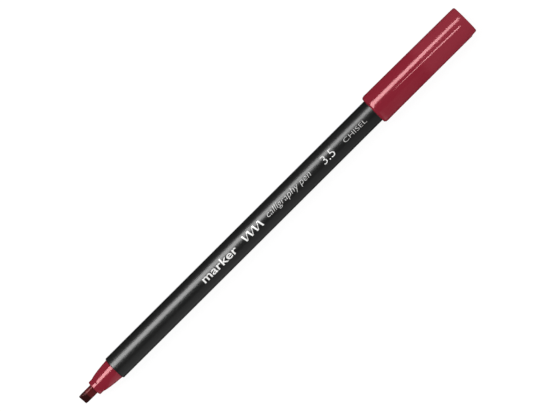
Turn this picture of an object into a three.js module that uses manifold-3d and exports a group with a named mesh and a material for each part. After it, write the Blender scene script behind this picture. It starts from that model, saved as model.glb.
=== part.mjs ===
// A chisel-nib calligraphy marker, lying on its side with its cap pushed onto its tail.
//
// Millimetres, +Z up. The marker's axis runs along X, from the nib at -X to the cap's closed end
// at +X. Along that axis every piece is placed by its distance from the barrel's front rim.
// The last lines move the whole marker, so that the origin is under its middle, at its lowest point.

import * as THREE from "three";
import { mergeVertices } from "three/addons/utils/BufferGeometryUtils.js";
import Module from "manifold-3d";

const wasm = await Module();
wasm.setup();

// ---------------------------------------------------------------- driving dimensions

const SIDES = 48; // flats round every turned piece
const SLIP = 0.05; // radial gap of a push fit
const GAP = 0.3; // end gap between pieces that stop against each other

const BARREL_LENGTH = 128.8;
const BARREL_RADIUS = 4;
const BARREL_WALL = 0.8;
const BARREL_EDGE = 0.25; // rounding of both ends of the barrel
const SOCKET_DEPTH = 6; // how far the nib holder's shoulder goes into the barrel
const SOCKET_WALL = 0.39;
const BARREL_RIBS = 6; // ribs in the barrel that hold the reservoir in the middle
const BARREL_RIB_WIDTH = 0.6;
const BARREL_RIB_HEIGHT = 0.15;

const HOLDER_REACH = 8.7; // from the barrel's front rim to the nose
const HOLDER_TAIL = 6; // the part of the holder behind its shoulder
const HOLDER_SPACE = 0.45; // between the nib's sides and the holder's bore
const NOSE_WALL = 0.79; // beside the nib
const NOSE_LENGTH = 1.5;
const NOSE_EDGE = 0.35;
const CONE_BEND = 1.5; // from the back of the nose to the bend in the cone's curve
const CONE_DROP = 0.4; // of that bend, below the holder's shoulder
const GUIDE_WIDTH = 1; // ribs that steady the nib in that bore
const GUIDE_LENGTH = 8;
const VENT_RADIUS = 0.35; // air channels beside the nib

const NIB_WIDTH = 3.5;
const NIB_THICKNESS = 2.2;
const NIB_REACH = 5; // from the nose to the writing edge
const NIB_EDGE = 0.4; // thickness of the writing edge
const NIB_BEVEL = 2.3; // length of the two bevels that form it
const NIB_DEPTH = 6; // how far the nib's tail goes into the reservoir
const NIB_POINT = 2.5; // length of the tail's point
const NIB_TURN = 37; // degrees that the flat faces lean from facing up, towards -Y

const FILM_THICKNESS = 0.1; // round the reservoir
const BREATHER_RADIUS = 0.5;
const BREATHER_WALL = 0.2;
const BREATHER_SPARE = 3; // the breather tube sticks out of the fibre by this much at the back

const PLUG_HEAD = 1.2; // thickness of the plug's head
const PLUG_SHY = 0.15; // the plug's head is this much smaller in radius than the barrel
const PLUG_EDGE = 0.45;
const PLUG_SPIGOT = 7;
const PLUG_WALL = 0.9;
const PLUG_BEAD = 0.1; // how far the sealing beads stand out of the plug's spigot
const STOP_PLATE = 0.8; // thickness of the plates that keep the reservoir forward
const STOP_REACH = 14.2; // how far those plates stand out of the spigot

const POST_DEPTH = 19.3; // how far the barrel's tail goes into the cap
const NIB_CLEARANCE = 3.6; // left over for the nib in the liner when the cap is on the front end
const CAP_TAPER = 0.25; // the closed end is this much smaller in radius than the mouth
const CAP_LIP_EDGE = 0.75; // rounding of the lip across the wall
const CAP_LIP_REACH = 0.75; // and along the cap
const CAP_END_EDGE = 0.45;
const CAP_WALL = 0.91; // at the mouth
const CAP_END_WALL = 1.2;
const CAP_RIBS = 6; // grip ribs inside the mouth
const CAP_RIB_WIDTH = 0.8;
const CAP_RIB_HEIGHT = 0.25;
const CAP_RIB_INSET = 2; // from the mouth to the start of the ribs

const PAD_SINK = 0.03; // the cap's straight side is this much inside the radius of its mouth
const PAD_INSET = 1.7; // from the straight side to the cap's closed end
const PAD_FROM = 5; // degrees from straight up towards -Y
const PAD_TO = 95;
const PAD_SLANT = 1; // degrees between the straight side's upper edge and the axis

const LINER_FLANGE = 2.4; // length of the liner's thick mouth
const LINER_WALL = 0.5;
const LINER_GRIP = 0.35; // the liner's bore is this much smaller in radius than the holder's shoulder
const LINER_FLARE = 0.25; // the liner's mouth opens by this much for the nib holder
const LINER_BASE = 0.8;

const ROOT = 0.2; // how deep a rib or another raised part is rooted in its wall
const OVERRUN = 1; // how far a cutter passes the face that it cuts

// ---------------------------------------------------------------- worked out from them

const BORE = BARREL_RADIUS - BARREL_WALL;
const SOCKET_RADIUS = BARREL_RADIUS - SOCKET_WALL;
const HOLDER_RADIUS = SOCKET_RADIUS - SLIP; // the holder's shoulder
const HOLDER_BORE = NIB_WIDTH / 2 + HOLDER_SPACE;
const NOSE_RADIUS = NIB_WIDTH / 2 + NOSE_WALL;
const NOSE_X = -HOLDER_REACH;
const TIP_X = NOSE_X - NIB_REACH;
const HOLDER_BACK_X = SOCKET_DEPTH + HOLDER_TAIL;
const FIBRE_X = HOLDER_BACK_X + GAP;
const STOP_X = BARREL_LENGTH - PLUG_SPIGOT - STOP_REACH;
const RESERVOIR_LENGTH = STOP_X - GAP - FIBRE_X;
const FILM_RADIUS = BORE - BARREL_RIB_HEIGHT - SLIP;
const FILM_BORE = FILM_RADIUS - FILM_THICKNESS;
const FIBRE_RADIUS = FILM_BORE - SLIP;
const NIB_BACK_X = FIBRE_X + NIB_DEPTH;
const NIB_LENGTH = NIB_BACK_X - TIP_X;
const PLUG_RADIUS = BARREL_RADIUS - PLUG_SHY;
const TAIL_X = BARREL_LENGTH + PLUG_HEAD; // the back of the uncapped marker
const MOUTH_X = TAIL_X - POST_DEPTH; // the mouth of the cap, where it is now
const LINER_X = TAIL_X + GAP;
const LINER_LENGTH = HOLDER_REACH + NIB_REACH + NIB_CLEARANCE + LINER_BASE;
const CAP_END_X = LINER_X + LINER_LENGTH + GAP + CAP_END_WALL;
const CAP_BORE = BARREL_RADIUS + SLIP + CAP_RIB_HEIGHT;
const CAP_MOUTH_RADIUS = CAP_BORE + CAP_WALL;
const CAP_END_RADIUS = CAP_MOUTH_RADIUS - CAP_TAPER;
const PAD_RADIUS = CAP_MOUTH_RADIUS - PAD_SINK;
const PAD_ROOT = CAP_END_RADIUS - ROOT;
const LINER_SEAT = BARREL_RADIUS; // the shell's narrower bore, where the liner is pushed in
const LINER_RADIUS = LINER_SEAT - SLIP;
const LINER_BORE = HOLDER_RADIUS - LINER_GRIP;
const BREATHER_OFFSET = FIBRE_RADIUS - BREATHER_RADIUS; // it lies just inside the film

const radians = THREE.MathUtils.degToRad;

// ---------------------------------------------------------------- shapes

// Points on an arc in an outline: centre, radius, and the angles that it runs between.
function arc(x, r, radius, from, to, steps = 4) {
  return Array.from({ length: steps + 1 }, (_, i) => {
    const angle = radians(from + ((to - from) * i) / steps);
    return [x + radius * Math.cos(angle), r + radius * Math.sin(angle)];
  });
}

// A closed outline of [x, radius] points, turned about the marker's axis. The inside is listed
// first, from front to back. A flat, not an edge, is lowest, so that the marker doesn't rock.
function turned(outline) {
  const points = [...outline, outline[0]].reverse().map(([x, r]) => new THREE.Vector2(r, x));
  const geometry = new THREE.LatheGeometry(points, SIDES, Math.PI / SIDES);
  return geometry.rotateZ(-Math.PI / 2);
}

function tube(x, length, inner, outer) {
  return turned([
    [x, inner],
    [x + length, inner],
    [x + length, outer],
    [x, outer],
  ]);
}

// A shape drawn across the marker's axis and pulled along it. The shape's +X points down.
function prism(shape, x, length) {
  const options = { depth: length, bevelEnabled: false, curveSegments: 8 };
  const geometry = new THREE.ExtrudeGeometry(shape, options);
  return geometry.rotateY(Math.PI / 2).translate(x, 0, 0);
}

// A flat bar with round sides, as wide as the nib lies and as thick as the nib is, plus a margin.
function slab(margin, x, length) {
  const half = NIB_THICKNESS / 2 + margin;
  const reach = NIB_WIDTH / 2 - NIB_THICKNESS / 2;
  const shape = new THREE.Shape();
  shape.absarc(0, reach, half, 0, Math.PI);
  shape.absarc(0, -reach, half, Math.PI, 2 * Math.PI);
  return prism(shape, x, length);
}

function rod(radius, x, length, sides = 16) {
  return new THREE.CylinderGeometry(radius, radius, length, sides)
    .rotateZ(Math.PI / 2)
    .translate(x + length / 2, 0, 0);
}

function block(x, length, width, low, high) {
  const box = new THREE.BoxGeometry(length, width, high - low);
  return box.translate(x + length / 2, 0, (low + high) / 2);
}

// Copies of a geometry, spaced evenly about the marker's axis.
function around(geometry, count, start = 0) {
  return Array.from({ length: count }, (_, i) => {
    return geometry.clone().rotateX(radians(start + (360 * i) / count));
  });
}

// ---------------------------------------------------------------- cutting and joining

function solid(geometry) {
  const bare = geometry.clone();
  bare.deleteAttribute("normal");
  bare.deleteAttribute("uv");
  const merged = mergeVertices(bare, 1e-4);
  const corners = merged.index.array;
  const kept = [];
  for (let i = 0; i < corners.length; i += 3) {
    const [a, b, c] = corners.slice(i, i + 3);
    if (a !== b && b !== c && c !== a) kept.push(a, b, c);
  }
  const vertProperties = merged.attributes.position.array;
  const triVerts = Uint32Array.from(kept);
  return new wasm.Manifold(new wasm.Mesh({ numProp: 3, vertProperties, triVerts }));
}

function shaped(start, added, cut) {
  let body = solid(start);
  for (const piece of added) body = body.add(solid(piece));
  for (const piece of cut) body = body.subtract(solid(piece));
  return geometryOf(body);
}

function geometryOf(body) {
  const mesh = body.getMesh();
  const geometry = new THREE.BufferGeometry();
  geometry.setAttribute("position", new THREE.BufferAttribute(mesh.vertProperties, mesh.numProp));
  geometry.setIndex(new THREE.BufferAttribute(mesh.triVerts, 1));
  geometry.computeVertexNormals();
  return geometry;
}

// ---------------------------------------------------------------- the marker's pieces

// A plain tube with a wider socket at the front for the nib holder, and ribs for the reservoir.
function barrel() {
  const back = BARREL_LENGTH - BARREL_EDGE;
  const rim = BARREL_RADIUS - BARREL_EDGE;
  const shell = turned([
    [0, SOCKET_RADIUS],
    [SOCKET_DEPTH, SOCKET_RADIUS],
    [SOCKET_DEPTH, BORE],
    [BARREL_LENGTH, BORE],
    ...arc(back, rim, BARREL_EDGE, 0, 90),
    ...arc(BARREL_EDGE, rim, BARREL_EDGE, 90, 180),
  ]);
  const ribLow = BORE - BARREL_RIB_HEIGHT;
  const rib = block(FIBRE_X, RESERVOIR_LENGTH, BARREL_RIB_WIDTH, ribLow, BORE + ROOT);
  return shaped(shell, around(rib, BARREL_RIBS), []);
}

// The coloured front end: a nose, a convex cone, a shoulder in the barrel's socket and a tail.
function nibHolder() {
  const tailRadius = BORE - SLIP;
  const coneX = NOSE_X + NOSE_LENGTH;
  const cone = new THREE.QuadraticBezierCurve(
    new THREE.Vector2(coneX, NOSE_RADIUS),
    new THREE.Vector2(coneX + CONE_BEND, HOLDER_RADIUS - CONE_DROP),
    new THREE.Vector2(0, HOLDER_RADIUS),
  );
  const body = turned([
    [NOSE_X, 0],
    [HOLDER_BACK_X, 0],
    [HOLDER_BACK_X, tailRadius - NOSE_EDGE],
    [HOLDER_BACK_X - NOSE_EDGE, tailRadius],
    [SOCKET_DEPTH - SLIP, tailRadius],
    [SOCKET_DEPTH - SLIP, HOLDER_RADIUS],
    ...cone.getPoints(8).reverse().map((p) => [p.x, p.y]),
    ...arc(NOSE_X + NOSE_EDGE, NOSE_RADIUS - NOSE_EDGE, NOSE_EDGE, 90, 180),
  ]);
  const bore = rod(HOLDER_BORE, 0, HOLDER_BACK_X + OVERRUN, SIDES);
  const guideX = HOLDER_BACK_X - GUIDE_LENGTH;
  const guideLow = NIB_THICKNESS / 2 + SLIP;
  const guide = block(guideX, GUIDE_LENGTH, GUIDE_WIDTH, guideLow, HOLDER_BORE + ROOT);
  const slotX = NOSE_X - OVERRUN;
  const slotLength = HOLDER_REACH + 2 * OVERRUN;
  const slot = slab(SLIP, slotX, slotLength);
  const vent = rod(VENT_RADIUS, slotX, slotLength).translate(0, NIB_WIDTH / 2, 0);
  const hollow = shaped(body, [], [bore, slot, ...around(vent, 2)]);
  return shaped(hollow, around(guide, 2), []);
}

// A slab of bonded fibre, bevelled on both faces to a chisel edge, with a pointed tail.
function nib() {
  const half = NIB_THICKNESS / 2;
  const edge = NIB_EDGE / 2;
  const side = new THREE.Shape([
    new THREE.Vector2(TIP_X, -edge),
    new THREE.Vector2(TIP_X + NIB_BEVEL, -half),
    new THREE.Vector2(NIB_BACK_X - NIB_POINT, -half),
    new THREE.Vector2(NIB_BACK_X, -edge),
    new THREE.Vector2(NIB_BACK_X, edge),
    new THREE.Vector2(NIB_BACK_X - NIB_POINT, half),
    new THREE.Vector2(TIP_X + NIB_BEVEL, half),
    new THREE.Vector2(TIP_X, edge),
  ]);
  const width = NIB_WIDTH + 2 * OVERRUN;
  const profile = new THREE.ExtrudeGeometry(side, { depth: width, bevelEnabled: false });
  profile.translate(0, 0, -width / 2).rotateX(Math.PI / 2);
  const bar = slab(0, TIP_X - OVERRUN, NIB_LENGTH + 2 * OVERRUN);
  return geometryOf(solid(bar).intersect(solid(profile)));
}

// The wadding that holds the ink, with a pocket for the nib and a groove for the breather tube.
function inkFibre(turn) {
  const bundle = rod(FIBRE_RADIUS, FIBRE_X, RESERVOIR_LENGTH, SIDES).rotateX(Math.PI / SIDES);
  const pocket = slab(SLIP, FIBRE_X - OVERRUN, NIB_DEPTH + GAP + OVERRUN).rotateX(turn);
  const groove = rod(BREATHER_RADIUS + SLIP, FIBRE_X - OVERRUN, RESERVOIR_LENGTH + 2 * OVERRUN);
  groove.translate(0, 0, -BREATHER_OFFSET);
  return shaped(bundle, [], [pocket, groove]);
}

function breatherTube() {
  const length = RESERVOIR_LENGTH + BREATHER_SPARE;
  const outside = rod(BREATHER_RADIUS, FIBRE_X, length);
  const inside = rod(BREATHER_RADIUS - BREATHER_WALL, FIBRE_X - OVERRUN, length + 2 * OVERRUN);
  return shaped(outside, [], [inside]).translate(0, 0, -BREATHER_OFFSET);
}

// The coloured plug in the barrel's tail. Its crossed plates stop the reservoir sliding back.
function tailPlug() {
  const spigot = BORE - SLIP - PLUG_BEAD / 2;
  const spigotX = BARREL_LENGTH - PLUG_SPIGOT;
  const bore = BORE - PLUG_WALL;
  const bead = (x) => [
    [x + PLUG_BEAD, spigot],
    [x, spigot + PLUG_BEAD / 2],
    [x - PLUG_BEAD, spigot],
  ];
  const headX = BARREL_LENGTH + SLIP;
  const body = turned([
    [spigotX, bore],
    [BARREL_LENGTH, bore],
    [BARREL_LENGTH, 0],
    [TAIL_X, 0],
    ...arc(TAIL_X - PLUG_EDGE, PLUG_RADIUS - PLUG_EDGE, PLUG_EDGE, 0, 90),
    [headX, PLUG_RADIUS],
    [headX, spigot],
    ...bead(BARREL_LENGTH - PLUG_SPIGOT / 3),
    ...bead(BARREL_LENGTH - (2 * PLUG_SPIGOT) / 3),
    [spigotX, spigot],
  ]);
  const plate = block(STOP_X, headX - STOP_X, STOP_PLATE, 0, bore + ROOT);
  return shaped(body, around(plate, 4, 45), []);
}

// The side of the cap that doesn't taper. It leaves the wall near the mouth, and near the closed
// end it ends in a step.
function straightSide() {
  const length = CAP_END_X - PAD_INSET - MOUTH_X;
  const strip = tube(MOUTH_X + CAP_LIP_REACH, length - CAP_LIP_REACH, PAD_ROOT, PAD_RADIUS);
  const sector = new THREE.Shape();
  sector.absarc(0, 0, 2 * PAD_RADIUS, radians(180 + PAD_FROM), radians(180 + PAD_TO));
  sector.lineTo(0, 0);
  const slice = prism(sector, -2 * length, 3 * length)
    .rotateZ(radians(-PAD_SLANT))
    .translate(MOUTH_X + length, 0, 0);
  return geometryOf(solid(strip).intersect(solid(slice)));
}

// The cap's outside: a slightly tapered tube with a closed end, a rounded lip and grip ribs.
function capShell() {
  const endBack = CAP_END_X - CAP_END_WALL;
  const lip = arc(0, CAP_MOUTH_RADIUS - CAP_LIP_EDGE, CAP_LIP_EDGE, 90, 180, 5);
  const body = turned([
    [MOUTH_X, CAP_BORE],
    [LINER_X - GAP, CAP_BORE],
    [LINER_X, LINER_SEAT],
    [endBack, LINER_SEAT],
    [endBack, 0],
    [CAP_END_X, 0],
    ...arc(CAP_END_X - CAP_END_EDGE, CAP_END_RADIUS - CAP_END_EDGE, CAP_END_EDGE, 0, 90, 5),
    ...lip.map(([x, r]) => [MOUTH_X + CAP_LIP_REACH * (1 + x / CAP_LIP_EDGE), r]),
  ]);
  const ribX = MOUTH_X + CAP_RIB_INSET;
  const rib = block(ribX, LINER_X - GAP - ribX, CAP_RIB_WIDTH, BARREL_RADIUS + SLIP, CAP_BORE + ROOT);
  return shaped(body, [...around(rib, CAP_RIBS), straightSide()], []);
}

// The soft cup inside the cap that closes round the nib holder and keeps the nib wet.
function capLiner() {
  const wall = LINER_BORE + LINER_WALL;
  const backX = LINER_X + LINER_LENGTH;
  return turned([
    [LINER_X, LINER_BORE + LINER_FLARE],
    [LINER_X + 2 * LINER_FLARE, LINER_BORE],
    [backX - LINER_BASE, LINER_BORE],
    [backX - LINER_BASE, 0],
    [backX, 0],
    [backX, wall - LINER_WALL / 2],
    [backX - LINER_WALL / 2, wall],
    [LINER_X + LINER_FLANGE, wall],
    [LINER_X + LINER_FLANGE - LINER_WALL / 2, LINER_RADIUS],
    [LINER_X, LINER_RADIUS],
  ]);
}

// ---------------------------------------------------------------- materials and assembly

const wine = new THREE.MeshStandardMaterial({ color: 0x832a34, roughness: 0.2, metalness: 0 });
const black = new THREE.MeshStandardMaterial({ color: 0x17181a, roughness: 0.3, metalness: 0 });
const inkedFelt = new THREE.MeshStandardMaterial({ color: 0x30100f, roughness: 0.75, metalness: 0 });
const inkedFibre = new THREE.MeshStandardMaterial({ color: 0x5a121c, roughness: 0.9, metalness: 0 });
const film = new THREE.MeshStandardMaterial({
  color: 0xe8e4e0,
  roughness: 0.15,
  metalness: 0,
  transparent: true,
  opacity: 0.35,
});
const natural = new THREE.MeshStandardMaterial({ color: 0xe9e7e0, roughness: 0.45, metalness: 0 });

const marker = new THREE.Group();

function place(name, geometry, material, parent = marker) {
  const mesh = new THREE.Mesh(geometry, material);
  mesh.name = name;
  parent.add(mesh);
}

place("barrel", barrel(), black);
place("tail_plug", tailPlug(), wine);
place("ink_fibre", inkFibre(radians(NIB_TURN)), inkedFibre);
place("reservoir_film", tube(FIBRE_X, RESERVOIR_LENGTH, FILM_BORE, FILM_RADIUS), film);
place("breather_tube", breatherTube(), natural);
place("nib_holder", nibHolder().rotateX(radians(NIB_TURN)), wine);
place("nib", nib().rotateX(radians(NIB_TURN)), inkedFelt);

const cap = new THREE.Group();
marker.add(cap);
place("cap_shell", capShell(), wine, cap);
place("cap_liner", capLiner(), natural, cap);

const middleX = (TIP_X + CAP_END_X) / 2;
const axisHeight = CAP_MOUTH_RADIUS * Math.cos(Math.PI / SIDES);
marker.position.set(-middleX, 0, axisHeight);

export default marker;
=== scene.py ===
# %% [markdown]
# # Finishing a calligraphy marker
#
# The marker's design is settled before this file starts: how long each piece is, how the pieces
# fit together and how the cap moves. That design is loaded as a frame of plain, faceted solids.
# This lesson makes the pieces that are seen, smooth and with their real finishes, in the same
# places. Everything is in metres, the marker lies along X with its nib at -X, and +Z is up.

from math import atan2, ceil, cos, hypot, pi, radians, sin

import bmesh
import bpy
from mathutils import Matrix, Vector


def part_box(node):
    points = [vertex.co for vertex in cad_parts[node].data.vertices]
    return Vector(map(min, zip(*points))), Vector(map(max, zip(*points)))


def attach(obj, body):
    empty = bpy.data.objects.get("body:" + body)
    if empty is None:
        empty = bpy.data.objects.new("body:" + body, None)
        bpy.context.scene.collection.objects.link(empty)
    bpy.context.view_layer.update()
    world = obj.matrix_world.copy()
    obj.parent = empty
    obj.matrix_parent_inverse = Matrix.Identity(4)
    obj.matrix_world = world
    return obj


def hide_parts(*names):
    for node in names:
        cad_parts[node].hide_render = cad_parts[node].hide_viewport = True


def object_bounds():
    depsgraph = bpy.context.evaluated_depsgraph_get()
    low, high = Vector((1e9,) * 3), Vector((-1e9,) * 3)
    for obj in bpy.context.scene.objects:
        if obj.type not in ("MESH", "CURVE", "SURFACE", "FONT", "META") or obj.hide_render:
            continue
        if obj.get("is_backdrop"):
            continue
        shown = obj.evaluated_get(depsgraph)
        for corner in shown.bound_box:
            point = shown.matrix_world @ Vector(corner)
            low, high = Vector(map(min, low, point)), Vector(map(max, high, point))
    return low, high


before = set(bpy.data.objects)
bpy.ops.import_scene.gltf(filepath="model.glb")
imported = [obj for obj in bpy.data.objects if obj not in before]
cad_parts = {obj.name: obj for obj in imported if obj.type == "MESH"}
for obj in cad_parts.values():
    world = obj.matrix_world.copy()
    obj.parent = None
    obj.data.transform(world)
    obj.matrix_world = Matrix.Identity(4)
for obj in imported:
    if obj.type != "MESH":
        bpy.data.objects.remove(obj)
design_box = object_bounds()
MM = 0.001

# %% [markdown]
# Every turned piece is drawn from the marker's axis, so the first thing to find is that axis.
# The cap is the thickest piece and lies on the floor, so its box gives the axis height. A piece's
# two ends and its radius come from its box in the same way.

# %% Read the sizes that the frame gives


def span(node):
    """The two ends of a node along X, and its radius."""
    low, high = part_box(node)
    return low.x, high.x, (high.z - low.z) / 2


CAP_X, CAP_END_X, CAP_R = span("cap_shell")
BARREL_X, BARREL_BACK_X, BARREL_R = span("barrel")
HOLDER_X, HOLDER_BACK_X, HOLDER_R = span("nib_holder")
NIB_X, NIB_BACK_X, _ = span("nib")
PLUG_X, PLUG_BACK_X, PLUG_R = span("tail_plug")
LINER_X, LINER_BACK_X, LINER_R = span("cap_liner")
AXIS_Z = sum(corner.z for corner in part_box("cap_shell")) / 2
print(f"axis {AXIS_Z / MM:.3f} mm up, cap radius {CAP_R / MM:.3f}, barrel radius {BARREL_R / MM:.3f}")

# %% [markdown]
# ## The camera, the floor and the light
#
# The marker is seen from almost straight above, and it crosses the view on the diagonal, nib at
# the lower left. A long lens from over a metre away keeps its sides nearly parallel. The camera
# stands above the cap's mouth, so that the front of the barrel is seen slightly from behind.

# %% Set the camera
VIEW_WIDTH = 166.5 * MM  # what the view shows from left to right at the marker's height
CAMERA_HEIGHT = 1.2
CAMERA_X = 40 * MM
DIAGONAL = radians(44.9)  # between the marker's axis and the view's horizontal
AIM = (0.46 * MM, 1.21 * MM)  # the marker's middle is this far left of and below the view's
SENSOR = 36  # millimetres

view_right = Vector((cos(DIAGONAL), -sin(DIAGONAL), 0))
view_up = Vector((sin(DIAGONAL), cos(DIAGONAL), 0))
aim = Vector((0, 0, AXIS_Z)) + AIM[0] * view_right + AIM[1] * view_up
camera_place = Vector((CAMERA_X, 0, CAMERA_HEIGHT))
back = (camera_place - aim).normalized()
right = view_up.cross(back).normalized()
up = back.cross(right)

camera_data = bpy.data.cameras.new("camera")
camera_data.sensor_width = SENSOR
camera_data.lens = SENSOR * (camera_place - aim).length / VIEW_WIDTH
camera_data.clip_start = 0.01
camera = bpy.data.objects.new("camera", camera_data)
camera.matrix_world = Matrix.Translation(camera_place) @ Matrix((right, up, back)).transposed().to_4x4()
bpy.context.scene.collection.objects.link(camera)
bpy.context.scene.camera = camera
print(f"lens {camera_data.lens:.0f} mm at {(camera_place - aim).length:.2f} m")

# %% [markdown]
# The light does two separate things. A white tent gives even light from all sides, which shows the
# plastic in its true colour. Then a long softbox with slanting corners hangs beside the marker, on the side
# that the letters' tops point to, and the round plastic mirrors it as a streak. The softbox ends
# just past the cap with its corners cut off, so the streak is broad at the nib and narrower at
# the cap. A dim card on the other side lifts the shaded side of the black barrel.
#
# The tent is left out of the mirror images, as a polariser does in a studio. Otherwise it would
# cover the black barrel with a grey veil.

# %% Hang the lights


def card(name, corners, radiance):
    """A flat, glowing card with the given corners, which is seen only in mirror images."""
    mesh = bpy.data.meshes.new(name)
    mesh.from_pydata(corners, [], [range(len(corners))])
    glow = bpy.data.materials.new(name)
    glow.use_nodes = True
    shader = glow.node_tree.nodes["Principled BSDF"]
    shader.inputs["Base Color"].default_value = (0, 0, 0, 1)
    shader.inputs["Emission Color"].default_value = (1, 1, 1, 1)
    shader.inputs["Emission Strength"].default_value = radiance
    mesh.materials.append(glow)
    sheet = bpy.data.objects.new(name, mesh)
    sheet.visible_camera = False
    sheet.visible_diffuse = False
    sheet.visible_shadow = False
    bpy.context.scene.collection.objects.link(sheet)
    sheet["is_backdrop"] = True


SOFTBOX_Z = 0.42
SOFTBOX_RADIANCE = 14.5
softbox_outline = [
    (-0.45, 0.090),
    (-0.03, 0.090),
    (0.050, 0.165),
    (0.115, 0.240),
    (0.115, 0.390),
    (0.080, 0.430),
    (0.030, 0.500),
    (-0.03, 0.480),
    (-0.45, 0.450),
]
card("softbox", [(x, y, SOFTBOX_Z) for x, y in softbox_outline], SOFTBOX_RADIANCE)
CARD_Y = -0.80
CARD_RADIANCE = 0.65
card_outline = [(-0.30, -0.6), (0.05, -0.6), (0.05, 0.9), (-0.30, 0.9)]
card("side_card", [(x, CARD_Y, z) for x, z in card_outline], CARD_RADIANCE)

key_data = bpy.data.lights.new("window", "AREA")
key_data.shape = "RECTANGLE"
key_data.size = 1.2
key_data.size_y = 0.6
key_data.energy = 2.0
key = bpy.data.objects.new("window", key_data)
key.location = (0, 0.7, 0.9)
key.rotation_euler = (radians(-38), 0, 0)
key.visible_glossy = False
bpy.context.scene.collection.objects.link(key)

tent = bpy.data.worlds.new("tent")
tent.use_nodes = True
tent.node_tree.nodes["Background"].inputs["Color"].default_value = (1, 1, 1, 1)
tent.node_tree.nodes["Background"].inputs["Strength"].default_value = 0.95
tent.cycles_visibility.glossy = False
bpy.context.scene.world = tent
bpy.context.scene.view_settings.view_transform = "Standard"
print("the softbox hangs", SOFTBOX_Z, "m up; the card stands", -CARD_Y, "m away")

# %% [markdown]
# ## Shader arithmetic
#
# A finish is made of numbers that change over a surface: a speckle, a scratch, a stain. Writing
# those as sums is easier to read than wiring nodes one by one. `Signal` wraps one socket, and
# each operator on it adds a Math node. `Finish` holds one material, and its `node` method adds
# any other node.

# %% Define Signal and Finish


class Signal:
    """One output in a material, which can be used in sums."""

    def __init__(self, finish, socket):
        self.finish = finish
        self.socket = socket

    def _math(self, operation, first, second):
        return self.finish.node("Math", {"operation": operation}, {0: first, 1: second})

    def __add__(self, other):
        return self._math("ADD", self, other)

    def __radd__(self, other):
        return self._math("ADD", other, self)

    def __sub__(self, other):
        return self._math("SUBTRACT", self, other)

    def __rsub__(self, other):
        return self._math("SUBTRACT", other, self)

    def __mul__(self, other):
        return self._math("MULTIPLY", self, other)

    def __rmul__(self, other):
        return self._math("MULTIPLY", other, self)


class Finish:
    """One material, and the ways to add to its nodes."""

    def __init__(self, name, roughness, **constants):
        self.material = bpy.data.materials.new(name)
        self.material.use_nodes = True
        self.tree = self.material.node_tree
        self.shader = self.tree.nodes["Principled BSDF"]
        self.place = self.node("TexCoord", output="Object")
        self.drive("Roughness", roughness)
        for socket, value in constants.items():
            self.drive(socket.replace("_", " "), value)

    def node(self, kind, settings=None, inputs=None, output=0):
        """Adds a node: its settings first, then the values or signals of its inputs."""
        node = self.tree.nodes.new("ShaderNode" + kind)
        for key, value in (settings or {}).items():
            if key == "stops":
                for element, (position, level) in zip(node.color_ramp.elements, value):
                    element.position = position
                    element.color = (level, level, level, 1)
            else:
                setattr(node, key, value)
        for key, value in (inputs or {}).items():
            self._feed(node.inputs[key], value)
        return Signal(self, node.outputs[output])

    def _feed(self, socket, value):
        if isinstance(value, Signal):
            self.tree.links.new(value.socket, socket)
        else:
            socket.default_value = value

    def drive(self, socket, value):
        """Gives one of the shader's own sockets its value or signal."""
        self._feed(self.shader.inputs[socket], value)

    def stretched(self, *scale):
        """The place on the piece, in millimetres, stretched along the axes."""
        scale = tuple(value / MM for value in scale)
        return self.node("Mapping", {"vector_type": "POINT"}, {"Vector": self.place, "Scale": scale})

    def noise(self, scale=1.0, where=None, detail=2.0, roughness=0.5):
        """Soft speckle from 0 to 1, whose blotches are about 1 / scale millimetres across."""
        where = where or self.stretched(1, 1, 1)
        inputs = {"Vector": where, "Scale": scale, "Detail": detail, "Roughness": roughness}
        return self.node("TexNoise", None, inputs)

    def ramp(self, value, low, high):
        """0 where value is below low, 1 where it is above high, and even between them."""
        return self.node("ValToRGB", {"stops": [(low, 0), (high, 1)]}, {"Fac": value})

    def mix(self, share, first, second):
        """The first colour where share is 0, and the second where it is 1."""
        inputs = {0: share, 6: (*first, 1) if isinstance(first, tuple) else first, 7: (*second, 1)}
        return self.node("Mix", {"data_type": "RGBA"}, inputs, output=2)

    def bump(self, height, depth):
        """Raises the surface where height is 1, by depth in metres."""
        inputs = {"Height": height, "Distance": depth, "Strength": 1.0}
        self.drive("Normal", self.node("Bump", None, inputs))


print("a finish starts from the node", Finish("trial", 0.5).shader.bl_idname)
bpy.data.materials.remove(bpy.data.materials["trial"])

# %% [markdown]
# ## The finishes
#
# **Wine-red plastic.** The cap, the nib holder and the tail plug are moulded in one colour of
# glossy polypropylene. Such plastic isn't perfectly even: its skin has a faint ripple from the
# mould, its gloss changes slightly from place to place, and handling leaves hair scratches that
# run mostly along the cap. Its gloss has a warm tint, because the coloured skin scatters some of
# the light that it mirrors.
#
# The cap's wall is thin enough to let a little light through. Where the black barrel is behind it the red
# is deep. Past the front of the whitish liner the red is painted a shade lighter, as painted light that the
# liner sends back through the wall. A flat red with one roughness would look like paint on glass.

# %% Mix the wine-red plastic


def hair_scratches(finish, along, across):
    """Thin lines, 0 to 1: noise drawn out along X and cut down to its narrow crests."""
    streaks = finish.noise(1.0, finish.stretched(along, across, across), detail=3.0, roughness=0.6)
    return finish.ramp(streaks, 0.60, 0.68)


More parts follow.
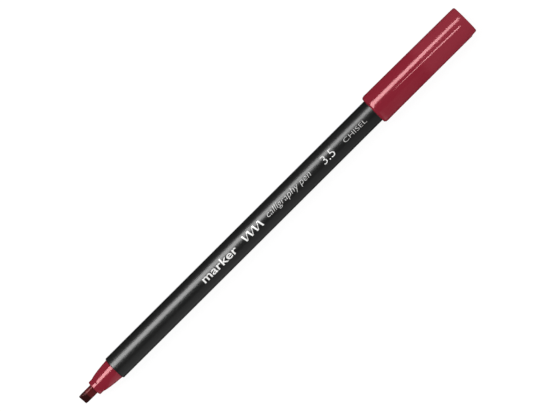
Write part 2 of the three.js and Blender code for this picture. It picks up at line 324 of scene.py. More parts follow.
def wine_plastic(name, backlight_x=None):
    """Wine-red plastic. Past the given X it is painted a shade lighter, as painted light from the liner
    behind the wall.
    """
    finish = Finish(name, 0.13, IOR=1.5, Specular_Tint=(1.0, 0.56, 0.58, 1))
    cloud = finish.noise(0.15, detail=3.0)
    scratch = hair_scratches(finish, 0.12, 5.0)
    colour = finish.mix(cloud, (0.226, 0.0148, 0.0285), (0.243, 0.0175, 0.0322))
    if backlight_x is not None:
        # Painted light: past the liner's front, the red is mixed towards a lighter red for light that comes
        # back through the wall.
        x = finish.node("SeparateXYZ", None, {"Vector": finish.place}, output="X")
        reach = {"Value": x, "From Min": backlight_x - 1.0 * MM, "From Max": backlight_x + 2.5 * MM}
        backlight_share = finish.node("MapRange", {"interpolation_type": "SMOOTHSTEP"}, reach)
        painted_backlit_red = (0.266, 0.0270, 0.0430)
        colour = finish.mix(0.85 * backlight_share, colour, painted_backlit_red)
    finish.drive("Base Color", colour)
    finish.drive("Roughness", 0.12 + 0.03 * cloud + 0.02 * scratch)
    ripple = finish.noise(0.35, detail=1.0)
    finish.bump(ripple + 0.02 * scratch, 0.003 * MM)
    return finish.material


WINE = wine_plastic("wine_plastic")
# The cap's copy carries the painted light of the liner behind its wall.
WINE_CAP = wine_plastic("wine_plastic_cap", backlight_x=LINER_X)
for wine in (WINE, WINE_CAP):
    print(wine.name, "has", len(wine.node_tree.nodes), "nodes")

# %% [markdown]
# **Black plastic.** The barrel is an extruded tube with a softer gloss than the cap. Extrusion
# leaves fine lines along its whole length, and they spread the streak of light sideways. Hands
# leave faint dull patches on it.

# %% Mix the black plastic


def black_plastic():
    finish = Finish("black_plastic", 0.3, IOR=1.41)
    cloud = finish.noise(0.12, detail=3.0)
    lines = finish.noise(1.0, finish.stretched(0.01, 9.0, 9.0), detail=4.0, roughness=0.7)
    scratch = hair_scratches(finish, 0.15, 6.0)
    finish.drive("Base Color", finish.mix(cloud, (0.0088, 0.0090, 0.0090), (0.0112, 0.0114, 0.0112)))
    finish.drive("Roughness", 0.27 + 0.04 * cloud + 0.03 * lines + 0.04 * scratch)
    finish.bump(lines + 0.2 * scratch, 0.0008 * MM)
    return finish.material


BLACK = black_plastic()
print(BLACK.name, "has", len(BLACK.node_tree.nodes), "nodes")

# %% [markdown]
# ** The nib.** It is a bar of bonded fibres, ground to a chisel and soaked in wine-red ink. The fibres run along the bar, so both its colour and its relief are noise drawn out along X. The ground chisel faces at the tip are rougher, and they are painted darker as painted shade, for faces that turn away from the light.

# %% Mix the inked felt


def inked_felt():
    finish = Finish("inked_felt", 0.3, IOR=1.25, Specular_Tint=(1.0, 0.66, 0.64, 1))
    fibres = finish.noise(1.0, finish.stretched(0.9, 9.0, 9.0), detail=4.0, roughness=0.65)
    grain = finish.noise(6.0, detail=2.0)
    tip = finish.node("SeparateXYZ", None, {"Vector": finish.place}, output="X")
    ground_tip_and_shade = finish.node(
        "MapRange",
        {"interpolation_type": "SMOOTHSTEP"},
        {"Value": tip, "From Min": NIB_X + 2.7 * MM, "From Max": NIB_X + 2.1 * MM},
    )
    shank = finish.mix(fibres, (0.070, 0.0035, 0.0050), (0.112, 0.0085, 0.0100))
    # Painted shade: the ground tip is mixed to a near-black red.
    finish.drive("Base Color", finish.mix(ground_tip_and_shade, shank, (0.030, 0.0020, 0.0020)))
    finish.drive("Roughness", 0.22 + 0.12 * fibres + 0.25 * ground_tip_and_shade)
    finish.bump(fibres + 0.4 * grain, 0.012 * MM)
    return finish.material


FELT = inked_felt()
print(FELT.name, "has", len(FELT.node_tree.nodes), "nodes")

# %% [markdown]
# **Natural polyethylene.** The cap's liner and the breather tube are plain, uncoloured soft
# plastic: milky, slightly waxy, and a little uneven in thickness.

# %% Mix the natural plastic


def natural_plastic():
    finish = Finish("natural_plastic", 0.4, IOR=1.51)
    cloud = finish.noise(0.4, detail=2.0)
    finish.drive("Base Color", finish.mix(cloud, (0.70, 0.69, 0.64), (0.80, 0.79, 0.74)))
    finish.drive("Roughness", 0.36 + 0.12 * cloud)
    finish.bump(finish.noise(1.2, detail=1.0), 0.01 * MM)
    return finish.material


NATURAL = natural_plastic()
print(NATURAL.name, "has", len(NATURAL.node_tree.nodes), "nodes")

# %% [markdown]
# **The reservoir.** Inside the barrel is a bundle of polyester wadding that holds the ink. It is
# redder where the ink sits deepest. A thin clear film keeps it together.

# %% Mix the wadding and its film


def wadding():
    finish = Finish("inked_wadding", 0.9)
    fibres = finish.noise(1.0, finish.stretched(0.3, 5.0, 5.0), detail=5.0, roughness=0.7)
    soak = finish.noise(0.08, detail=2.0)
    dry = finish.mix(fibres, (0.11, 0.009, 0.015), (0.24, 0.030, 0.042))
    finish.drive("Base Color", finish.mix(0.6 * soak, dry, (0.07, 0.005, 0.009)))
    finish.drive("Roughness", 0.75 + 0.2 * fibres)
    finish.bump(fibres, 0.05 * MM)
    return finish.material


def clear_film():
    finish = Finish("clear_film", 0.15, IOR=1.5, Alpha=0.35)
    crease = finish.noise(1.0, finish.stretched(0.05, 1.5, 1.5), detail=3.0)
    finish.drive("Base Color", finish.mix(crease, (0.74, 0.72, 0.70), (0.82, 0.80, 0.78)))
    finish.drive("Roughness", 0.10 + 0.12 * crease)
    finish.bump(crease, 0.02 * MM)
    return finish.material


for node, material in (
    ("ink_fibre", wadding()),
    ("reservoir_film", clear_film()),
    ("breather_tube", NATURAL),
):
    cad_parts[node].data.materials.clear()
    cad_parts[node].data.materials.append(material)
    print(node, "keeps its solid and is finished in", material.name)

# %% [markdown]
# ## Turning round pieces
#
# Nearly every piece of a pen is a body of revolution. By hand one would add a circle, extrude it
# along the axis, scale it, extrude again, and so on: each ring is a station on the outline. The
# corners are bevelled afterwards. `turned` does exactly that. An outline of (x, radius) stations
# may give a third number, the radius of the rounding at that station.
#
# A spun profile would give the same surface. Rings are chosen because the faces of each ring stay
# easy to find afterwards, for ribs and for the cap's straight side.

# %% Write the helpers for editing
SIDES = 192
NEAR = 1e-6


def nothing_selected():
    bpy.ops.object.select_all(action="DESELECT")


def from_axis(point):
    """The distance of a point from the marker's axis."""
    return hypot(point.y, point.z - AXIS_Z)


def turn_of(point):
    """The angle about the axis from straight up, positive towards -Y."""
    return atan2(-point.y, point.z - AXIS_Z)


def pick(kind, test):
    """Selects only those vertices, edges or faces whose points all pass the test."""
    mode = {"verts": "VERT", "edges": "EDGE", "faces": "FACE"}[kind]
    bpy.ops.mesh.select_all(action="DESELECT")
    bpy.ops.mesh.select_mode(type=mode)
    mesh = bmesh.from_edit_mesh(bpy.context.object.data)
    found = 0
    for part in getattr(mesh, kind):
        points = [part.co] if kind == "verts" else [vertex.co for vertex in part.verts]
        if all(test(point) for point in points):
            part.select_set(True)
            found += 1
    bmesh.update_edit_mesh(bpy.context.object.data)
    return found


def on_ring(x, radius):
    """A test for points that lie on one ring."""
    return lambda p: abs(p.x - x) < NEAR and abs(from_axis(p) - radius) < NEAR


# %% Write the helper for turned pieces


def turned(name, stations, sides=SIDES):
    """A closed body of revolution, built ring by ring from (x, radius[, rounding]) stations.

    If the last station is the first one, the outline closes on itself, as a tube's does.
    Otherwise both ends are closed with a flat face.
    """
    outline = [(s[0], s[1]) for s in stations]
    ring_closed = outline[0] == outline[-1]
    (x, radius), *others = outline
    nothing_selected()
    bpy.ops.mesh.primitive_circle_add(
        vertices=sides,
        radius=radius,
        fill_type="NOTHING" if ring_closed else "NGON",
        location=(x, 0, AXIS_Z),
        rotation=(0, pi / 2, 0),
    )
    piece = bpy.context.object
    piece.name = piece.data.name = name
    bpy.ops.object.transform_apply(location=True, rotation=True, scale=True)
    bpy.ops.object.mode_set(mode="EDIT")
    bpy.ops.mesh.select_mode(type="EDGE")
    bpy.ops.mesh.select_all(action="SELECT")
    for next_x, next_radius in others:
        bpy.ops.mesh.extrude_edges_move(TRANSFORM_OT_translate={"value": (next_x - x, 0, 0)})
        grow = next_radius / radius
        bpy.ops.transform.resize(value=(1, grow, grow), center_override=(next_x, 0, AXIS_Z))
        x, radius = next_x, next_radius
    if not ring_closed:
        bpy.ops.mesh.edge_face_add()
    bpy.ops.mesh.select_all(action="SELECT")
    bpy.ops.mesh.remove_doubles(threshold=NEAR / 10)
    bpy.ops.mesh.normals_make_consistent(inside=False)
    for x, radius, *rounding in stations:
        if rounding:
            pick("edges", on_ring(x, radius))
            bpy.ops.mesh.bevel(offset=rounding[0], segments=8, affect="EDGES")
    bpy.ops.object.mode_set(mode="OBJECT")
    return piece


def smooth(piece, angle=32):
    """Smooth shading, except over edges sharper than the angle, with flat faces kept flat."""
    nothing_selected()
    piece.select_set(True)
    bpy.context.view_layer.objects.active = piece
    bpy.ops.object.shade_smooth_by_angle(angle=radians(angle))
    bpy.ops.object.modifier_add(type="WEIGHTED_NORMAL")
    piece.modifiers[-1].keep_sharp = True
    bpy.ops.object.modifier_apply(modifier=piece.modifiers[-1].name)


def hand_over(piece, material, body, slot, *nodes):
    """Paints a piece, lets it ride on its body and hides the frame's nodes that it stands for."""
    piece.data.materials.clear()
    piece.data.materials.append(material)
    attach(piece, body)
    if nodes:
        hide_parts(*nodes)
    low = [min(v.co[i] for v in piece.data.vertices) / MM for i in range(3)]
    high = [max(v.co[i] for v in piece.data.vertices) / MM for i in range(3)]
    reaches = [f"{a:.2f}..{b:.2f}" for a, b in zip(low, high)]
    print(f"{piece.name}: {len(piece.data.polygons)} faces,", reaches)


# %% [markdown]
# ## The barrel
#
# The barrel is a plain tube. Its front rim, where the nib holder goes in, is rounded, and inside
# it is a wider socket for the holder's shoulder. Nothing of the bore is seen once the tail plug
# is in, so the small ribs that hold the reservoir are left to the frame.

# %% Turn the barrel
BARREL_BORE = 3.2 * MM
SOCKET_R = 3.61 * MM
SOCKET_DEPTH = 6 * MM
RIM = 0.25 * MM

barrel = turned(
    "barrel_tube",
    [
        (BARREL_X + SOCKET_DEPTH, SOCKET_R),
        (BARREL_X + SOCKET_DEPTH, BARREL_BORE),
        (BARREL_BACK_X, BARREL_BORE),
        (BARREL_BACK_X, BARREL_R, RIM),
        (BARREL_X, BARREL_R, RIM),
        (BARREL_X, SOCKET_R, 0.08 * MM),
        (BARREL_X + SOCKET_DEPTH, SOCKET_R),
    ],
)
smooth(barrel)
hand_over(barrel, BLACK, "pen", "barrel_black", "barrel")

# %% [markdown]
# ## The nib holder
#
# The red front end has three parts: a short straight nose round the nib, a cone that swells
# gently up to the barrel, and a shoulder and tail hidden in the barrel. The cone isn't straight:
# its outline is an arc that flattens towards the barrel, so its stations follow a curve.
#
# The nib comes out of a slot with round ends. Two small air channels run beside it, one at each
# narrow side. The slot and the channels are cut with Boolean modifiers. That is safer than bridging
# holes by hand, and the cut edges stay crisp, as on the moulding.

# %% Turn the nib holder
NIB_TURN = radians(37)  # the nib and its slot lean towards -Y
NOSE_R = 2.54 * MM
NOSE_LENGTH = 1.5 * MM
CONE_BEND = (1.5 * MM, 3.16 * MM)  # the cone's bend: behind the nose, and its radius
SHOULDER_R = HOLDER_R
TAIL_R = 3.15 * MM
HOLDER_BORE = 2.2 * MM


def cone_stations(steps=16):
    """The cone's outline: a curve from the barrel's rim to the nose, bent at one point."""
    ends = (BARREL_X, SHOULDER_R), (HOLDER_X + NOSE_LENGTH, NOSE_R)
    bend = (HOLDER_X + NOSE_LENGTH + CONE_BEND[0], CONE_BEND[1])
    shares = [step / steps for step in range(steps + 1)]
    return [
        tuple((1 - t) ** 2 * ends[0][i] + 2 * t * (1 - t) * bend[i] + t * t * ends[1][i] for i in (0, 1))
        for t in shares
    ]


holder = turned(
    "nib_holder_moulding",
    [
        (BARREL_X, HOLDER_BORE),
        (HOLDER_BACK_X, HOLDER_BORE),
        (HOLDER_BACK_X, TAIL_R, 0.3 * MM),
        (BARREL_X + SOCKET_DEPTH - 0.05 * MM, TAIL_R),
        (BARREL_X + SOCKET_DEPTH - 0.05 * MM, SHOULDER_R, 0.1 * MM),
        *cone_stations(),
        (HOLDER_X, NOSE_R, 0.35 * MM),
        (HOLDER_X, 1.9 * MM),
    ],
)

# %% [markdown]
# The slot's cutter is a long bar with round sides. It starts as a cube stretched to the bar's
# size. Its four long edges are bevelled until the bevels meet, which rounds both sides. The nib
# itself is the same bar, a little smaller, so one function makes both.

# %% Cut the slot and the air channels
NIB_WIDTH = 3.5 * MM
NIB_THICKNESS = 2.2 * MM
SLIP = 0.05 * MM


def round_sided_bar(name, x, length, width, thickness):
    """A bar along X, wide in Y and thin in Z, with round sides."""
    nothing_selected()
    middle = (x + length / 2, 0, AXIS_Z)
    bpy.ops.mesh.primitive_cube_add(size=1, location=middle, scale=(length, width, thickness))
    bar = bpy.context.object
    bar.name = bar.data.name = name
    bpy.ops.object.transform_apply(location=False, rotation=False, scale=True)
    bpy.ops.object.mode_set(mode="EDIT")
    bpy.ops.mesh.select_all(action="DESELECT")
    bpy.ops.mesh.select_mode(type="EDGE")
    mesh = bmesh.from_edit_mesh(bar.data)
    for edge in mesh.edges:
        edge.select_set(abs(edge.verts[0].co.x - edge.verts[1].co.x) > length / 2)
    bmesh.update_edit_mesh(bar.data)
    bpy.ops.mesh.bevel(offset=thickness * 0.499, segments=12, affect="EDGES")
    bpy.ops.object.mode_set(mode="OBJECT")
    return bar


def turned_about_axis(piece, angle):
    """Turns a piece that was added on the marker's axis, and puts its place into its mesh."""
    nothing_selected()
    piece.select_set(True)
    bpy.context.view_layer.objects.active = piece
    piece.rotation_euler = (angle, 0, 0)
    bpy.ops.object.transform_apply(location=True, rotation=True, scale=True)
    return piece


def combine(piece, tool, operation):
    """Joins the tool to the piece or cuts it out, and removes the tool."""
    nothing_selected()
    bpy.context.view_layer.objects.active = piece
    piece.select_set(True)
    bpy.ops.object.modifier_add(type="BOOLEAN")
    modifier = piece.modifiers[-1]
    modifier.object = tool
    modifier.operation = operation
    modifier.solver = "EXACT"
    bpy.ops.object.modifier_apply(modifier=modifier.name)
    bpy.data.objects.remove(tool)


MARGIN = 1 * MM  # cutters reach this far past what they cut
slot_length = BARREL_X - HOLDER_X + 2 * MARGIN
slot = round_sided_bar(
    "slot", HOLDER_X - MARGIN, slot_length, NIB_WIDTH + 2 * SLIP, NIB_THICKNESS + 2 * SLIP
)
combine(holder, turned_about_axis(slot, NIB_TURN), "DIFFERENCE")
for side in (-1, 1):
    nothing_selected()
    bpy.ops.mesh.primitive_cylinder_add(
        vertices=32,
        radius=0.35 * MM,
        depth=slot_length,
        location=(HOLDER_X - MARGIN + slot_length / 2, 0, AXIS_Z),
        rotation=(0, pi / 2, 0),
    )
    channel = bpy.context.object
    bpy.ops.object.transform_apply(location=False, rotation=True, scale=True)
    channel.data.transform(Matrix.Translation((0, side * NIB_WIDTH / 2, 0)))
    combine(holder, turned_about_axis(channel, NIB_TURN), "DIFFERENCE")
smooth(holder)
hand_over(holder, WINE, "pen", "wine_plastic", "nib_holder")

# %% [markdown]
# ## The nib
#
# The nib is the same round-sided bar, ground to a chisel. Two sloping planes and nothing else make
# the chisel, so two bisects with a fill do what the grinding wheel did. The other end is cut to a
# blunt point, to push into the wadding. Felt has no razor edges, so they are bevelled very
# slightly.

# %% Grind the nib
NIB_EDGE = 0.4 * MM  # thickness of the writing edge
NIB_BEVEL = 2.3 * MM
NIB_POINT = 2.5 * MM

nib = round_sided_bar("nib_felt_bar", NIB_X, NIB_BACK_X - NIB_X, NIB_WIDTH, NIB_THICKNESS)


def grind(x, rise_x, sign):
    """Cuts a plane from the narrow edge at x to the full thickness at rise_x."""
    slope = (NIB_THICKNESS - NIB_EDGE) / 2
    run = rise_x - x
    normal = Vector((-slope * (1 if run > 0 else -1), 0, sign * abs(run))).normalized()
    bpy.ops.mesh.select_all(action="SELECT")
    bpy.ops.mesh.bisect(
        plane_co=(x, 0, AXIS_Z + sign * NIB_EDGE / 2),
        plane_no=normal,
        use_fill=True,
        clear_outer=True,
        threshold=NEAR / 10,
    )


bpy.ops.object.mode_set(mode="EDIT")
for sign in (-1, 1):
    grind(NIB_X, NIB_X + NIB_BEVEL, sign)
    grind(NIB_BACK_X, NIB_BACK_X - NIB_POINT, sign)
bpy.ops.mesh.select_all(action="SELECT")
bpy.ops.mesh.normals_make_consistent(inside=False)
bpy.ops.object.mode_set(mode="OBJECT")
bpy.ops.object.modifier_add(type="BEVEL")
nib.modifiers[-1].width = 0.06 * MM
nib.modifiers[-1].segments = 3
nib.modifiers[-1].limit_method = "ANGLE"
nib.modifiers[-1].angle_limit = radians(20)
bpy.ops.object.modifier_apply(modifier=nib.modifiers[-1].name)
turned_about_axis(nib, NIB_TURN)
smooth(nib)
hand_over(nib, FELT, "pen", "nib_felt", "nib")

# %% [markdown]
# ## The tail plug
#
# The plug closes the barrel's back. Its rounded head is hidden while the cap is on the tail, and
# seen as soon as the cap is pulled off. Behind the head a hollow spigot with two sealing beads
# goes into the barrel, and crossed plates reach forward to the reservoir.

# %% Turn the tail plug
SPIGOT_R = 3.1 * MM
SPIGOT_LENGTH = 7 * MM
SPIGOT_BORE = 2.3 * MM
BEAD = 0.1 * MM
HEAD_X = BARREL_BACK_X + SLIP


def bead_stations(x):
    return [(x + BEAD, SPIGOT_R), (x, SPIGOT_R + BEAD / 2), (x - BEAD, SPIGOT_R)]


plug = turned(
    "tail_plug_moulding",
    [
        (BARREL_BACK_X, SPIGOT_BORE),
        (BARREL_BACK_X - SPIGOT_LENGTH, SPIGOT_BORE),
        (BARREL_BACK_X - SPIGOT_LENGTH, SPIGOT_R),
        *reversed(bead_stations(BARREL_BACK_X - SPIGOT_LENGTH * 2 / 3)),
        *reversed(bead_stations(BARREL_BACK_X - SPIGOT_LENGTH / 3)),
        (HEAD_X, SPIGOT_R),
        (HEAD_X, PLUG_R, 0.08 * MM),
        (PLUG_BACK_X, PLUG_R, 0.45 * MM),
    ],
)
for angle in (45, 135):
    nothing_selected()
    length = HEAD_X - PLUG_X
    bpy.ops.mesh.primitive_cube_add(
        size=1,
        location=(PLUG_X + length / 2, 0, AXIS_Z),
        scale=(length, 0.8 * MM, 2 * SPIGOT_BORE + 0.4 * MM),
        rotation=(radians(angle), 0, 0),
    )
    plate = bpy.context.object
    bpy.ops.object.transform_apply(location=True, rotation=True, scale=True)
    combine(plug, plate, "UNION")
smooth(plug)
hand_over(plug, WINE, "pen", "wine_plastic", "tail_plug")

# %% [markdown]
# ## The cap
#
# The cap is a round shell with a rounded lip and a flat closed end. It tapers a little, as every
# deep moulding has to, except along one side. There the wall stays straight, so that side stands
# further and further out of the taper and ends in a soft step just before the closed end. Its
# upper border catches the light as a second, thin streak.
#
# The shell is turned with many rings, because that border is shaped by moving points and needs
# points to move. The rings are closest together near the step.

# %% Turn the cap's shell
CAP_SIDES = 768
CAP_TAPER = 0.25 * MM
CAP_BORE = 4.3 * MM
CAP_SEAT = 4.0 * MM  # the deeper, narrower bore that holds the liner
CAP_END_WALL = 1.2 * MM
LIP = 0.75 * MM  # rounding of the lip across the wall
LIP_REACH = 1.2 * MM  # and along the cap
CROWN = 0.10 * MM  # how far the wall curves in before the closed end
CROWN_REACH = 1.5 * MM
END_ROUNDING = 0.40 * MM
END_BEVEL = 0.98 * END_ROUNDING  # just short of the last ring, so that the two don't meet
STEP_X = CAP_END_X - 1.7 * MM  # where the straight side ends
RIB_X = CAP_X + 2 * MM
SEAT_X = LINER_X - 0.3 * MM


def wall_radius(x):
    """The tapering wall's outer radius."""
    share = (x - CAP_X - LIP_REACH) / (CAP_END_X - CAP_X - LIP_REACH)
    crown = max(x - (CAP_END_X - CROWN_REACH), 0) / CROWN_REACH
    return CAP_R - CAP_TAPER * share - CROWN * crown**2


def lip_stations(steps=14):
    """A quarter of an ellipse, from the lip's front to the outside of the wall."""
    turns = [pi / 2 * step / steps for step in range(steps)]
    return [(CAP_X + LIP_REACH * (1 - cos(a)), CAP_R - LIP * (1 - sin(a))) for a in turns]


def evenly(first, last, step):
    count = ceil((last - first) / step)
    return [first + (last - first) * i / count for i in range(count)]


coarse = evenly(CAP_X + LIP_REACH, STEP_X - 1.0 * MM, 0.9 * MM)
fine = evenly(STEP_X - 1.0 * MM, STEP_X + 0.2 * MM, 0.1 * MM)
crowned = evenly(STEP_X + 0.2 * MM, CAP_END_X - END_ROUNDING, 0.3 * MM)
wall_xs = coarse + fine + crowned

cap = turned(
    "cap_moulding",
    [
        (CAP_END_X - CAP_END_WALL, CAP_SEAT),
        (LINER_X, CAP_SEAT),
        (SEAT_X, CAP_BORE),
        (RIB_X, CAP_BORE),
        (CAP_X, CAP_BORE, 0.08 * MM),
        *lip_stations(),
        *[(x, wall_radius(x)) for x in wall_xs],
        (CAP_END_X, wall_radius(CAP_END_X), END_BEVEL),
    ],
    sides=CAP_SIDES,
)
print("the wall has", len(wall_xs), "rings")

# %% [markdown]
# Six ribs inside the mouth grip the barrel. Each one is a patch of the bore's own faces, extruded
# towards the axis.

# %% Raise the grip ribs
RIBS = 6
RIB_WIDTH = 0.8 * MM
RIB_HEIGHT = 0.25 * MM


def on_a_rib(point):
    """Is the point on the bore, between the ribs' ends, and on the footprint of a rib?"""
    pitch = 2 * pi / RIBS
    off = (turn_of(point) + pitch / 2) % pitch - pitch / 2
    on_bore = abs(from_axis(point) - CAP_BORE) < NEAR and RIB_X - NEAR < point.x < SEAT_X + NEAR
    return on_bore and abs(off) * CAP_BORE < RIB_WIDTH / 2


bpy.context.view_layer.objects.active = cap
bpy.ops.object.mode_set(mode="EDIT")
found = pick("faces", on_a_rib)
bpy.ops.mesh.extrude_region_shrink_fatten(TRANSFORM_OT_shrink_fatten={"value": RIB_HEIGHT})
bpy.ops.object.mode_set(mode="OBJECT")
inner = min(from_axis(v.co) for v in cap.data.vertices if RIB_X - NEAR < v.co.x < SEAT_X - NEAR)
print(found, "faces made ribs; they reach in to a radius of", f"{inner / MM:.2f} mm")

# %% [markdown]
# The straight side is moved out with a Displace modifier. A vertex group says how far each point
# goes: all the way where the side should be straight, and not at all on the rest of the wall. Its
# border is a slope of constant steepness, so it is widest where the side stands out furthest. The
# patch has a round corner at its end. Sculpting the border would take many strokes, and a Boolean
# would leave slivers where the two surfaces almost touch near the mouth.

# %% Straighten one side
SIDE_R = CAP_R - 0.03 * MM
BORDER_SLOPE = 0.41  # how steeply the side's border rises
BORDER_BLEND = 0.016 * MM  # rounding at the top and the foot of the border
CORNER = 1.0 * MM
SIDE_FROM, SIDE_TO = radians(2.7), radians(95)  # at the step; from straight up towards -Y
SIDE_SLANT = radians(0.65)  # between the upper border and the axis


def inside_patch(point):
    """How deep a point of the wall is inside the straight side's patch, in metres."""
    around = turn_of(point) * CAP_R
    upper = around - SIDE_FROM * CAP_R + (STEP_X - point.x) * sin(SIDE_SLANT)
    lower = SIDE_TO * CAP_R - around
    end = STEP_X - point.x
    across = min(upper, lower)
    if across < CORNER and end < CORNER:
        return CORNER - hypot(CORNER - across, CORNER - end)
    return min(across, end)


def soft_min(first, second, blend):
    """The smaller of two lengths, with a rounded change between them."""
    share = min(max(0.5 + (second - first) / (2 * blend), 0), 1)
    return second + (first - second) * share - blend * share * (1 - share)


def rise_at(point):
    """How far a point of the wall moves out."""
    whole = SIDE_R - from_axis(point)
    slope = max(inside_patch(point), 0) * BORDER_SLOPE
    return max(soft_min(whole, slope, BORDER_BLEND), 0)


group = cap.vertex_groups.new(name="straight_side")
largest = SIDE_R - wall_radius(STEP_X)
moved = 0
for vertex in cap.data.vertices:
    outside = from_axis(vertex.co) > wall_radius(CAP_END_X) - NEAR
    on_wall = CAP_X + LIP_REACH < vertex.co.x < STEP_X and outside
    if on_wall and rise_at(vertex.co) > 0:
        group.add([vertex.index], min(rise_at(vertex.co) / largest, 1), "REPLACE")
        moved += 1
nothing_selected()
cap.select_set(True)
bpy.ops.object.modifier_add(type="DISPLACE")
cap.modifiers[-1].vertex_group = group.name
cap.modifiers[-1].mid_level = 0
cap.modifiers[-1].strength = largest
bpy.ops.object.modifier_apply(modifier=cap.modifiers[-1].name)
cap.vertex_groups.clear()
smooth(cap)
hand_over(cap, WINE_CAP, "cap", "wine_plastic", "cap_shell")
print(moved, "points moved, at most", f"{largest / MM:.2f} mm")

# %% [markdown]
# ## The cap's liner
#
# A soft cup sits in the cap's far end. When the cap is on the front of the marker, the cup's mouth
# closes round the nib holder's cone and keeps the nib from drying out. With the cap on the tail
# it is empty, and it is seen only through the mouth of a cap that has been pulled off.

# %% Turn the liner
LINER_BORE = 3.21 * MM
LINER_WALL = 0.5 * MM
LINER_BASE = 0.8 * MM
FLANGE = 2.4 * MM
FLARE = 0.25 * MM

liner = turned(
    "cap_liner_cup",
    [
        (LINER_BACK_X - LINER_BASE, LINER_BORE, 0.4 * MM),
        (LINER_X + 2 * FLARE, LINER_BORE),
        (LINER_X, LINER_BORE + FLARE),
        (LINER_X, LINER_R, 0.12 * MM),
        (LINER_X + FLANGE - LINER_WALL / 2, LINER_R),
        (LINER_X + FLANGE, LINER_BORE + LINER_WALL),
        (LINER_BACK_X, LINER_BORE + LINER_WALL, 0.25 * MM),
    ],
)
smooth(liner)
hand_over(liner, NATURAL, "cap_liner", "natural_plastic", "cap_liner")

# %% [markdown]
# ## The print
#
# The barrel is printed in white along its top, read from the nib towards the cap. The wording
# here is generic: what it is, the width of the nib and its shape. Between the first two words is
# an ornament, a run of chisel strokes, broad going down and thin going up.
#
# A print is a layer of ink a few hundredths of a millimetre thick. It could be a mask in the barrel's
# material, but then it would be only as sharp as a texture. So it is a mesh: each text is converted, cut
# into strips that can follow the curve, dropped onto the barrel and thickened.

# %% Mix the white ink


def white_ink():
    finish = Finish("white_ink", 0.45)
    cloud = finish.noise(1.5, detail=3.0)
    finish.drive("Base Color", finish.mix(cloud, (0.80, 0.80, 0.79), (0.90, 0.90, 0.89)))
    finish.drive("Roughness", 0.38 + 0.15 * cloud)
    finish.bump(finish.noise(8.0, detail=2.0), 0.004 * MM)
    return finish.material


INK = white_ink()
print(INK.name, "has", len(INK.node_tree.nodes), "nodes")

# %% Set the words
PRINT_Z = AXIS_Z + BARREL_R + 2 * MM  # the words float here before they drop onto the barrel


def word(text, start, end, height, middle, slope=0.0, weight=0.0):
    """A word from start to end, in metres behind the barrel's front rim, as a flat mesh."""
    nothing_selected()
    bpy.ops.object.text_add()
    letters = bpy.context.object
    letters.data.body = text
    letters.data.shear = slope
    letters.data.offset = weight
    bpy.ops.object.convert(target="MESH")
    points = [v.co for v in letters.data.vertices]
    low = Vector([min(p[i] for p in points) for i in range(3)])
    high = Vector([max(p[i] for p in points) for i in range(3)])
    size = high - low
    letters.data.transform(
        Matrix.Translation((BARREL_X + start, middle - height / 2, PRINT_Z))
        @ Matrix.Diagonal(((end - start) / size.x, height / size.y, 1, 1))
        @ Matrix.Translation(-low)
    )
    return letters


words = [
    word("marker", 38.0 * MM, 52.1 * MM, 2.5 * MM, -0.10 * MM, weight=0.012),
    word("calligraphy pen", 65.6 * MM, 83.9 * MM, 2.5 * MM, 0.0, slope=0.25, weight=-0.020),
    word("3.5", 88.9 * MM, 93.6 * MM, 2.7 * MM, -0.05 * MM, weight=-0.010),
    word("CHISEL", 97.9 * MM, 107.1 * MM, 1.3 * MM, -0.35 * MM, weight=-0.024),
]
print("set", len(words), "words")

# %% [markdown]
# The ornament is one stroke, made once and copied. A broad stroke is a plane leaned over by
# moving its upper edge, and the thin return stroke is a second, narrow plane that joins it to the
# next one.

# %% Draw the ornament
ORNAMENT = (55.2 * MM, 64.2 * MM)
STROKES = 4
STROKE_HEIGHT = 2.3 * MM
pitch = (ORNAMENT[1] - ORNAMENT[0]) / STROKES


def stroke(start, bottom_x, top_x, width):
    """A flat slanting bar, from its foot at bottom_x to its head at top_x."""
    nothing_selected()
    bpy.ops.mesh.primitive_plane_add(size=1, location=(0, 0, PRINT_Z))
    bar = bpy.context.object
    middle = (bottom_x + top_x) / 2
    lean = (top_x - bottom_x) / STROKE_HEIGHT
    slanted = Matrix(((width, lean * STROKE_HEIGHT, 0), (0, STROKE_HEIGHT, 0), (0, 0, 1)))
    bar.data.transform(slanted.to_4x4())
    bar.data.transform(Matrix.Translation((start + middle, 0, 0)))
    return bar


for index in range(STROKES):
    start = BARREL_X + ORNAMENT[0] + index * pitch
    words.append(stroke(start, 0.95 * MM, 0.45 * MM, 0.55 * MM))
    if index < STROKES - 1:
        words.append(stroke(start, 1.15 * MM, pitch + 0.15 * MM, 0.22 * MM))
print("the print has", len(words), "loose pieces")

# %% Drop the print onto the barrel
STRIP = 0.2 * MM
INK_THICKNESS = 0.02 * MM

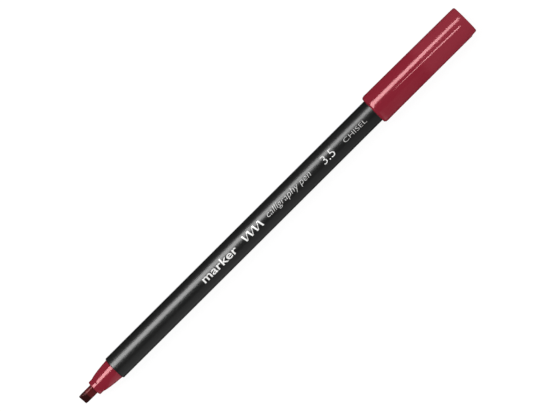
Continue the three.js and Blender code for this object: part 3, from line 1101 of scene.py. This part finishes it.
nothing_selected()
for loose in words:
    loose.select_set(True)
bpy.context.view_layer.objects.active = words[0]
bpy.ops.object.join()
printed = bpy.context.object
printed.name = printed.data.name = "barrel_print"
bpy.ops.object.transform_apply(location=True, rotation=True, scale=True)
bpy.ops.object.mode_set(mode="EDIT")
for index in range(-9, 10):
    bpy.ops.mesh.select_all(action="SELECT")
    bpy.ops.mesh.bisect(plane_co=(0, index * STRIP, 0), plane_no=(0, 1, 0))
bpy.ops.object.mode_set(mode="OBJECT")
bpy.ops.object.modifier_add(type="SHRINKWRAP")
wrap = printed.modifiers[-1]
wrap.target = barrel
wrap.wrap_method = "PROJECT"
wrap.use_project_z = True
wrap.use_negative_direction = True
wrap.use_positive_direction = False
bpy.ops.object.modifier_apply(modifier=wrap.name)
bpy.ops.object.modifier_add(type="SOLIDIFY")
printed.modifiers[-1].thickness = INK_THICKNESS
printed.modifiers[-1].offset = 1
bpy.ops.object.modifier_apply(modifier=printed.modifiers[-1].name)
hand_over(printed, INK, "pen", "white_ink")

# %% [markdown]
# ## The floor
#
# The marker lies on a light table: a white sheet that glows from below, so that it reads as paper
# white and hardly any shadow is left on it. Glossy plastic would mirror so bright a sheet as a
# pale rim all round the marker, so the sheet is left out of the mirror images too.

# %% Lay the light table


def light_table():
    finish = Finish("light_table", 0.8, Emission_Strength=0.92)
    cloud = finish.noise(0.02, detail=2.0)
    finish.drive("Base Color", finish.mix(cloud, (0.075, 0.075, 0.075), (0.085, 0.085, 0.085)))
    finish.drive("Emission Color", (1, 1, 1, 1))
    return finish.material


nothing_selected()
bpy.ops.mesh.primitive_plane_add(size=6, location=(0, 0, 0))
floor = bpy.context.object
floor.name = "floor"
floor.data.materials.append(light_table())
floor.visible_glossy = False
floor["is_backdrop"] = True

# %% [markdown]
# ## Last measurements
#
# Both boxes, the design's and the finished marker's, are printed.

# %% Write both boxes
final_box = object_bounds()
for name, corners in (("design", design_box), ("finished", final_box)):
    print(name, [[round(value / MM, 3) for value in corner] for corner in corners])
